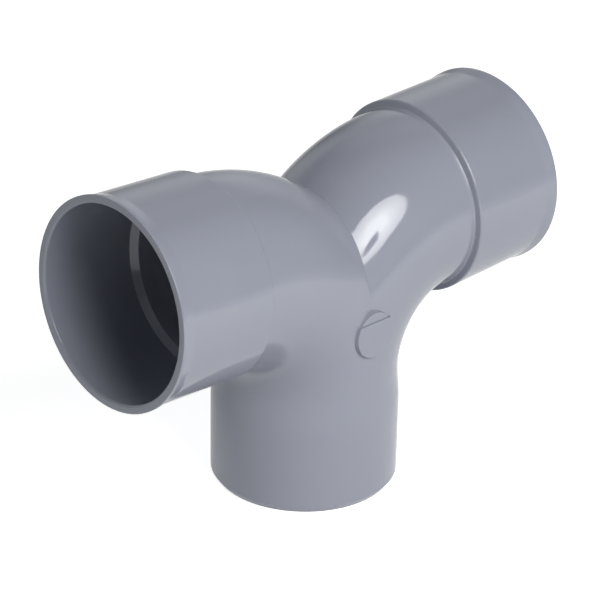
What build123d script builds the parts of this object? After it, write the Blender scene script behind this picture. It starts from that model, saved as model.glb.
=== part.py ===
from build123d import *
from math import cos, radians, sin
import os

# Double drain elbow, one moulded piece with no moving part.
# One pipe end (the spigot) points down and splits into two long bends that part like a moustache.
# Each bend ends in a socket that takes the end of a drain pipe.
# Lengths in millimetres, angles in degrees. The origin is the centre of the spigot's end face.
# +Z runs up the spigot, the arms run along -X and +X, and the round mark faces -Y.

# Pipe ends that the fitting is made for
PIPE_OD = 100.0
SOCKET_CLEARANCE = 0.4
WALL = 3.2

# Spigot: pipe end below the bends, with a lead-in cone at its tip and a slightly narrower waist at its top
SPIGOT_OD = PIPE_OD
SPIGOT_LENGTH = 65.0
LEAD_IN_DEPTH = 2.0
LEAD_IN_LENGTH = 3.0
WAIST_LENGTH = 22.0
WAIST_SLIMMER = 2.4

# Bends: they widen evenly from the waist to the neck, which is a little slimmer than the pipe.
# The inside radius is measured to the wall in the crook of the bend.
BEND_INSIDE_RADIUS = 23.2
BEND_ANGLE = 87.5
NECK_SLIMMER = 0.4
NECK_LENGTH = 5.0

# Sockets: the pipe goes in as far as the stop cone, and the shoulder outside lies just behind it
SOCKET_BORE = PIPE_OD + SOCKET_CLEARANCE
SOCKET_WALL = 3.3
SOCKET_DEPTH = 55.0
STOP_LENGTH = 3.0
SHOULDER_BEHIND_STOP = 3.6
SHOULDER_DRAFT = 1.0
SHOULDER_ROOT = 0.8
SHOULDER_EDGE = 1.2

# Lip: the socket flares out gently to a thicker rim, crisp outside and well rounded inside
LIP_HEIGHT = 1.1
LIP_WIDTH = 1.8
FLARE_LENGTH = 5.6
FLARE_BLEND = 8.0
LIP_BLEND = 1.2
RIM_ROUND = 0.4
MOUTH_ROUND = 1.4

# Round mark: a bare raised disc across the crease, with a smaller set-back cap above a straight step
MARK_DIAMETER = 25.0
MARK_RISE = 33.5
MARK_PROUD = 2.2
MARK_STEP_RISE = 6.7
MARK_SET_BACK = 0.8
MARK_DEPTH = 6.0
MARK_DRAFT = 15.0

spigot_r = SPIGOT_OD / 2
waist_r = spigot_r - WAIST_SLIMMER / 2
neck_r = (PIPE_OD - NECK_SLIMMER) / 2
bend_radius = waist_r + BEND_INSIDE_RADIUS
socket_bore_r = SOCKET_BORE / 2
socket_r = socket_bore_r + SOCKET_WALL
lip_r = socket_r + LIP_HEIGHT
stop_start = NECK_LENGTH + SHOULDER_BEHIND_STOP
arm_length = stop_start + SOCKET_DEPTH
turn = radians(BEND_ANGLE)

# Frame of the right arm: it starts where the bend ends, with its own Z out through the mouth
arm_start = Vector(bend_radius * (1 - cos(turn)), 0, SPIGOT_LENGTH + bend_radius * sin(turn))
arm_frame = Plane(arm_start, x_dir=(cos(turn), 0, -sin(turn)), z_dir=(sin(turn), 0, cos(turn)))


def turned(outline, rounds=()):
    """Solid of revolution about Z from a closed outline in (radius, height), with some corners rounded."""
    section = make_face(outline)
    for corner, radius in rounds:
        near = section.vertices().sort_by_distance(Vector(*corner))[0]
        section = fillet(near, radius)
    return revolve(Plane.XZ * section, Axis.Z)


def pipe_end(tip, radius, top_radius):
    """Solid of the spigot from its tip's outline, with a smooth narrowing to the waist's radius."""
    waist_start = SPIGOT_LENGTH - WAIST_LENGTH
    waist_middle = SPIGOT_LENGTH - WAIST_LENGTH / 2
    wall = Polyline(*tip, (radius, waist_start))
    waist = Bezier(
        (radius, waist_start),
        (radius, waist_middle),
        (top_radius, waist_middle),
        (top_radius, SPIGOT_LENGTH),
    )
    closing = Polyline((top_radius, SPIGOT_LENGTH), (0, SPIGOT_LENGTH), tip[0])
    return turned(wall + waist + closing)


def bend(start_radius, end_radius):
    """One bend, its pipe widening evenly from the top of the spigot to the neck."""
    path = CenterArc((bend_radius, 0, 0), bend_radius, 180, -BEND_ANGLE)
    path = Plane((0, 0, SPIGOT_LENGTH), x_dir=(1, 0, 0), z_dir=(0, -1, 0)) * path
    start = Plane.XY.offset(SPIGOT_LENGTH) * Circle(start_radius)
    end = arm_frame * Circle(end_radius)
    return sweep([start, end], path=path, multisection=True)


# Outside of the spigot
spigot_tip = [(0, 0), (spigot_r - LEAD_IN_DEPTH, 0), (spigot_r, LEAD_IN_LENGTH)]
spigot = pipe_end(spigot_tip, spigot_r, waist_r)

# Outside of the right arm: neck, shoulder, socket and lip
flare_start = arm_length - LIP_WIDTH - FLARE_LENGTH
arm = turned(
    Polyline(
        (0, 0),
        (neck_r, 0),
        (neck_r, NECK_LENGTH - SHOULDER_DRAFT),
        (socket_r, NECK_LENGTH),
        (socket_r, flare_start),
        (lip_r, arm_length - LIP_WIDTH),
        (lip_r, arm_length),
        (0, arm_length),
        close=True,
    ),
    rounds=[
        ((neck_r, NECK_LENGTH - SHOULDER_DRAFT), SHOULDER_ROOT),
        ((socket_r, NECK_LENGTH), SHOULDER_EDGE),
        ((socket_r, flare_start), FLARE_BLEND),
        ((lip_r, arm_length - LIP_WIDTH), LIP_BLEND),
        ((lip_r, arm_length), RIM_ROUND),
    ],
)

# Inside of the spigot
spigot_channel = pipe_end([(0, 0), (spigot_r - WALL, 0)], spigot_r - WALL, waist_r - WALL)

# Inside of the right arm: channel, pipe stop, socket bore and the rounded edge of the mouth
beyond = arm_length + 2 * MOUTH_ROUND
arm_channel = turned(
    Polyline(
        (0, 0),
        (neck_r - WALL, 0),
        (neck_r - WALL, stop_start - STOP_LENGTH),
        (socket_bore_r, stop_start),
        (socket_bore_r, arm_length),
        (socket_bore_r + 2 * MOUTH_ROUND, arm_length),
        (socket_bore_r + 2 * MOUTH_ROUND, beyond),
        (0, beyond),
        close=True,
    ),
    rounds=[((socket_bore_r, arm_length), MOUTH_ROUND)],
)


def both_sides(right_bend, right_arm, middle):
    """One bend and arm cut off at the middle plane, its mirror image, and the pipe they share."""
    right_side = split(right_bend + arm_frame * right_arm, Plane.YZ, keep=Keep.TOP)
    return middle + right_side + mirror(right_side, Plane.YZ)


body = both_sides(bend(waist_r, neck_r), arm, spigot)
channel = both_sides(bend(waist_r - WALL, neck_r - WALL), arm_channel, spigot_channel)


def raised_disc(radius, set_back):
    """Disc with sloping sides, sunk into the wall, its face set back from the front of the mark."""
    face = Pos(0, 0, -set_back) * Circle(radius)
    return extrude(face, set_back - MARK_DEPTH, taper=-MARK_DRAFT)


# Round mark, standing square to the front: a disc below the step and the smaller cap above it
mark_r = MARK_DIAMETER / 2
mark_place = (0, -waist_r - MARK_PROUD, SPIGOT_LENGTH + MARK_RISE)
front = Plane(mark_place, x_dir=(1, 0, 0), z_dir=(0, -1, 0))
disc = raised_disc(mark_r, 0)
cap = raised_disc(mark_r - MARK_SET_BACK, MARK_SET_BACK)
step = Plane.XZ.offset(-MARK_STEP_RISE)
mark = front * (split(disc, step, keep=Keep.TOP) + split(cap, step, keep=Keep.BOTTOM))

elbow = body + mark - channel

os.makedirs("parts", exist_ok=True)
export_step(elbow, "parts/double_elbow.step")
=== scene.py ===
from math import cos, radians, sin

import bpy
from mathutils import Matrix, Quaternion, Vector

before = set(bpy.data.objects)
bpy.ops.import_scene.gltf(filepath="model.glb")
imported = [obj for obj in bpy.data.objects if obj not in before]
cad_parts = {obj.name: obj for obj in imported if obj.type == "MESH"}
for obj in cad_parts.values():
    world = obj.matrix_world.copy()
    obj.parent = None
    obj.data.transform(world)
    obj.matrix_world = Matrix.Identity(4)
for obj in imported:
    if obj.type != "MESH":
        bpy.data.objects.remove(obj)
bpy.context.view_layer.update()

# Double drain elbow: one moulded piece of glossy grey PVC, standing on a white table in a studio.
# Lengths in metres, angles in degrees. Azimuth 0 is -Y and 90 is +X, as seen from the object.

# Camera: where it stands, what it looks at, its tilt about the line of sight, and its lens in millimetres
CAMERA_PLACE = Vector((-0.79993, -0.81808, 0.65769))
CAMERA_AIM = Vector((-0.00176, 0.00302, 0.09902))
CAMERA_ROLL = 1.047
CAMERA_LENS = 146.505
SENSOR_WIDTH = 36.0
CLIP_START = 0.05
CLIP_END = 50.0

# Softbox: round lamps one before the other, which make a brighter middle, and the dark arm in front of them
STUDIO_CENTRE = Vector((0.0, 0.0, 0.12))
SOFTBOX_AZIMUTH = -5.0
SOFTBOX_ELEVATION = 36.0
SOFTBOX_DISTANCE = 1.5
SOFTBOX_WIDTHS_AND_POWERS = [(1.0, 16.5), (0.8, 2.0), (0.6, 1.5), (0.42, 1.0)]
SOFTBOX_SPACING = 0.01
ARM_AZIMUTH = -6.2
ARM_ELEVATION = 28.0
ARM_DISTANCE = 1.4
ARM_WIDTH = 0.18
ARM_LENGTH = 0.27
ARM_LEAN = -40.0
ARM_CORNERS = 48
ARM_COLOUR = (0.02, 0.02, 0.02)

# Room: soft glows of its lit walls as (azimuth, elevation, strength), with no light between them
GLOWS = [
    (0, 8, 0.34),
    (-90, 8, 0.22),
    (-90, 36, 0.16),
    (-120, 8, 0.46),
    (-150, 8, 0.26),
    (120, 8, 0.46),
    (150, 8, 0.19),
    (180, 8, 0.60),
    (180, 36, 0.12),
    (135, 36, 0.44),
]
GLOW_OUTER_ANGLE = 32.0
GLOW_INNER_ANGLE = 8.0
ROOM_COLOUR = (0.98, 1.0, 1.04)

# Table: white to look at and greyer in a reflection, where it ends at a straight edge to the front right.
# Inside the spigot it stays dark.
TABLE_SIZE = 8.0
TABLE_DROP = 0.0002
TABLE_COLOUR = (0.8, 0.8, 0.81)
TABLE_WHITE = 0.85
TABLE_MIRRORED = 0.45
TABLE_EDGE_AZIMUTH = 42.0
TABLE_EDGE = 0.8
SPIGOT_INSIDE = 0.0475

# Plastic: clean grey PVC with the faint unevenness of a moulding.
# Each noise has a scale in marks per metre and a number of finer layers, and most of its values lie
# in the noise range.
NOISE_ROUGHNESS = 0.55
NOISE_RANGE = (0.3, 0.7)
CLOUDS = (14.0, 3)
SPECKLES = (1500.0, 2)
SPECKLE_SHARE = 0.25
PVC_PALE = (0.333, 0.350, 0.410)
PVC_DEEP = (0.317, 0.336, 0.398)
PVC_SPECULAR = 0.6
GLOSS = (55.0, 4)
ROUGHNESS_RANGE = (0.05, 0.12)
WAVES = (22.0, 1)
WAVE_HEIGHT = 0.00012
GRAIN = (700.0, 2)
GRAIN_HEIGHT = 0.0000035


def direction(azimuth, elevation):
    """Unit vector from the object towards a place in the studio."""
    a, e = radians(azimuth), radians(elevation)
    return Vector((sin(a) * cos(e), -cos(a) * cos(e), sin(e)))


def empty_material(name):
    """New node material that holds only its output node."""
    material = bpy.data.materials.new(name)
    material.use_nodes = True
    tree = material.node_tree
    tree.nodes.clear()
    output = tree.nodes.new("ShaderNodeOutputMaterial")
    return material, tree, output


def calculated(tree, operation, first, second):
    """Sum, product, maximum or comparison of a value and another value or fixed number."""
    node = tree.nodes.new("ShaderNodeMath")
    node.operation = operation
    tree.links.new(first, node.inputs[0])
    if isinstance(second, float):
        node.inputs[1].default_value = second
    else:
        tree.links.new(second, node.inputs[1])
    return node.outputs["Value"]


def along(tree, vector, towards):
    """How far a vector goes along a direction."""
    node = tree.nodes.new("ShaderNodeVectorMath")
    node.operation = "DOT_PRODUCT"
    node.inputs[1].default_value = towards
    tree.links.new(vector, node.inputs[0])
    return node.outputs["Value"]


def noise(tree, place, scale, layers):
    """Noise texture over the object; its value lies around a half."""
    texture = tree.nodes.new("ShaderNodeTexNoise")
    texture.inputs["Scale"].default_value = scale
    texture.inputs["Detail"].default_value = layers
    texture.inputs["Roughness"].default_value = NOISE_ROUGHNESS
    tree.links.new(place, texture.inputs["Vector"])
    return texture.outputs["Fac"]


def spread(tree, value, low, high):
    """Noise value stretched from its usual range to another and held inside it."""
    node = tree.nodes.new("ShaderNodeMapRange")
    node.inputs["From Min"].default_value = NOISE_RANGE[0]
    node.inputs["From Max"].default_value = NOISE_RANGE[1]
    node.inputs["To Min"].default_value = low
    node.inputs["To Max"].default_value = high
    tree.links.new(value, node.inputs["Value"])
    return node.outputs["Result"]


def mottled_colour(tree, place):
    """Two close greys in soft clouds, with fine speckles of pigment."""
    clouds = spread(tree, noise(tree, place, *CLOUDS), 0, 1 - SPECKLE_SHARE)
    speckles = spread(tree, noise(tree, place, *SPECKLES), 0, SPECKLE_SHARE)
    ramp = tree.nodes.new("ShaderNodeValToRGB")
    ramp.color_ramp.elements[0].color = (*PVC_DEEP, 1)
    ramp.color_ramp.elements[1].color = (*PVC_PALE, 1)
    tree.links.new(calculated(tree, "ADD", clouds, speckles), ramp.inputs["Fac"])
    return ramp.outputs["Color"]


def bump(tree, height, distance):
    """Bump node over a height."""
    node = tree.nodes.new("ShaderNodeBump")
    node.inputs["Distance"].default_value = distance
    tree.links.new(height, node.inputs["Height"])
    return node


def uneven_surface(tree, place):
    """Slow waves of the moulding under a fine grain."""
    waves = bump(tree, noise(tree, place, *WAVES), WAVE_HEIGHT)
    grain = bump(tree, noise(tree, place, *GRAIN), GRAIN_HEIGHT)
    tree.links.new(waves.outputs["Normal"], grain.inputs["Normal"])
    return grain.outputs["Normal"]


def moulded_pvc():
    """Glossy moulded plastic."""
    material, tree, output = empty_material("glossy_grey_pvc")
    place = tree.nodes.new("ShaderNodeTexCoord").outputs["Object"]
    plastic = tree.nodes.new("ShaderNodeBsdfPrincipled")
    plastic.inputs["Specular IOR Level"].default_value = PVC_SPECULAR
    gloss = spread(tree, noise(tree, place, *GLOSS), *ROUGHNESS_RANGE)
    tree.links.new(mottled_colour(tree, place), plastic.inputs["Base Color"])
    tree.links.new(gloss, plastic.inputs["Roughness"])
    tree.links.new(uneven_surface(tree, place), plastic.inputs["Normal"])
    tree.links.new(plastic.outputs["BSDF"], output.inputs["Surface"])
    return material


def before_edge(tree, place):
    """1 on the table as far as its edge, and 0 beyond it."""
    way = along(tree, place, direction(TABLE_EDGE_AZIMUTH, 0))
    return calculated(tree, "LESS_THAN", way, TABLE_EDGE)


def outside_spigot(tree, place):
    """1 on the open table, and 0 on the patch inside the spigot."""
    distance = tree.nodes.new("ShaderNodeVectorMath")
    distance.operation = "LENGTH"
    tree.links.new(place, distance.inputs[0])
    return calculated(tree, "GREATER_THAN", distance.outputs["Value"], SPIGOT_INSIDE)


def table_lift(tree):
    """White that only shows to a ray that looks at the table, and that gives no light."""
    place = tree.nodes.new("ShaderNodeTexCoord").outputs["Object"]
    rays = tree.nodes.new("ShaderNodeLightPath")
    straight = calculated(tree, "MULTIPLY", rays.outputs["Is Camera Ray"], TABLE_WHITE)
    glossy, through = rays.outputs["Is Glossy Ray"], rays.outputs["Is Transmission Ray"]
    mirrored = calculated(tree, "MULTIPLY", calculated(tree, "MAXIMUM", glossy, through), TABLE_MIRRORED)
    mirrored = calculated(tree, "MULTIPLY", mirrored, before_edge(tree, place))
    white = calculated(tree, "MAXIMUM", straight, mirrored)
    white = calculated(tree, "MULTIPLY", white, outside_spigot(tree, place))
    lift = tree.nodes.new("ShaderNodeEmission")
    tree.links.new(white, lift.inputs["Strength"])
    return lift.outputs["Emission"]


def white_table():
    """Floor that keeps the object's shadow and looks white around it."""
    material, tree, output = empty_material("white_table")
    board = tree.nodes.new("ShaderNodeBsdfDiffuse")
    board.inputs["Color"].default_value = (*TABLE_COLOUR, 1)
    both = tree.nodes.new("ShaderNodeAddShader")
    tree.links.new(board.outputs["BSDF"], both.inputs[0])
    tree.links.new(table_lift(tree), both.inputs[1])
    tree.links.new(both.outputs["Shader"], output.inputs["Surface"])
    bpy.ops.mesh.primitive_plane_add(size=TABLE_SIZE, location=(0, 0, -TABLE_DROP))
    table = bpy.context.object
    table.name = "table"
    table.data.materials.append(material)


def face_object(holder, azimuth, elevation, distance, lean=0.0):
    """Put a lamp or its arm at a place in the studio, facing the object and unseen by the camera."""
    away = direction(azimuth, elevation)
    holder.location = STUDIO_CENTRE + away * distance
    holder.rotation_mode = "QUATERNION"
    holder.rotation_quaternion = away.to_track_quat("Z", "Y") @ Quaternion((0, 0, 1), radians(lean))
    holder.visible_camera = False


def softbox():
    """The one big lamp, in front and above."""
    for number, (width, power) in enumerate(SOFTBOX_WIDTHS_AND_POWERS):
        lamp = bpy.data.lights.new(f"softbox_{number}", "AREA")
        lamp.shape = "DISK"
        lamp.size = width
        lamp.energy = power
        holder = bpy.data.objects.new(lamp.name, lamp)
        bpy.context.scene.collection.objects.link(holder)
        distance = SOFTBOX_DISTANCE - number * SOFTBOX_SPACING
        face_object(holder, SOFTBOX_AZIMUTH, SOFTBOX_ELEVATION, distance)


def lamp_arm():
    """Short dark arm in front of the softbox, which shows as a slit in its reflection."""
    material, tree, output = empty_material("lamp_arm")
    cloth = tree.nodes.new("ShaderNodeBsdfDiffuse")
    cloth.inputs["Color"].default_value = (*ARM_COLOUR, 1)
    tree.links.new(cloth.outputs["BSDF"], output.inputs["Surface"])
    bpy.ops.mesh.primitive_circle_add(vertices=ARM_CORNERS, radius=0.5, fill_type="NGON")
    arm = bpy.context.object
    arm.name = "lamp_arm"
    arm.scale = (ARM_WIDTH, ARM_LENGTH, 1)
    face_object(arm, ARM_AZIMUTH, ARM_ELEVATION, ARM_DISTANCE, ARM_LEAN)
    arm.data.materials.append(material)


def glow(tree, sight, azimuth, elevation, strength):
    """Light of one lit wall, which fades out around its middle."""
    nearness = along(tree, sight, direction(azimuth, elevation))
    fade = tree.nodes.new("ShaderNodeMapRange")
    fade.interpolation_type = "SMOOTHSTEP"
    fade.inputs["From Min"].default_value = cos(radians(GLOW_OUTER_ANGLE))
    fade.inputs["From Max"].default_value = cos(radians(GLOW_INNER_ANGLE))
    fade.inputs["To Min"].default_value = 0
    fade.inputs["To Max"].default_value = strength
    tree.links.new(nearness, fade.inputs["Value"])
    return fade.outputs["Result"]


def room():
    """Dark room with lit walls all around."""
    world = bpy.data.worlds.new("room")
    bpy.context.scene.world = world
    world.use_nodes = True
    tree = world.node_tree
    tree.nodes.clear()
    output = tree.nodes.new("ShaderNodeOutputWorld")
    walls = tree.nodes.new("ShaderNodeBackground")
    walls.inputs["Color"].default_value = (*ROOM_COLOUR, 1)
    sight = tree.nodes.new("ShaderNodeTexCoord").outputs["Generated"]
    light = glow(tree, sight, *GLOWS[0])
    for wall in GLOWS[1:]:
        light = calculated(tree, "ADD", light, glow(tree, sight, *wall))
    tree.links.new(light, walls.inputs["Strength"])
    tree.links.new(walls.outputs["Background"], output.inputs["Surface"])


def camera():
    """Camera at the photograph's view."""
    lens = bpy.data.cameras.new("camera")
    lens.sensor_width = SENSOR_WIDTH
    lens.lens = CAMERA_LENS
    lens.clip_start = CLIP_START
    lens.clip_end = CLIP_END
    holder = bpy.data.objects.new("camera", lens)
    bpy.context.scene.collection.objects.link(holder)
    towards = CAMERA_AIM - CAMERA_PLACE
    roll = Quaternion((0, 0, 1), radians(CAMERA_ROLL))
    holder.location = CAMERA_PLACE
    holder.rotation_mode = "QUATERNION"
    holder.rotation_quaternion = towards.to_track_quat("-Z", "Y") @ roll
    bpy.context.scene.camera = holder


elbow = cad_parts["double_elbow"]
elbow.material_slots[0].material = moulded_pvc()
white_table()
softbox()
lamp_arm()
room()
camera()

bpy.context.scene.view_settings.view_transform = "Standard"
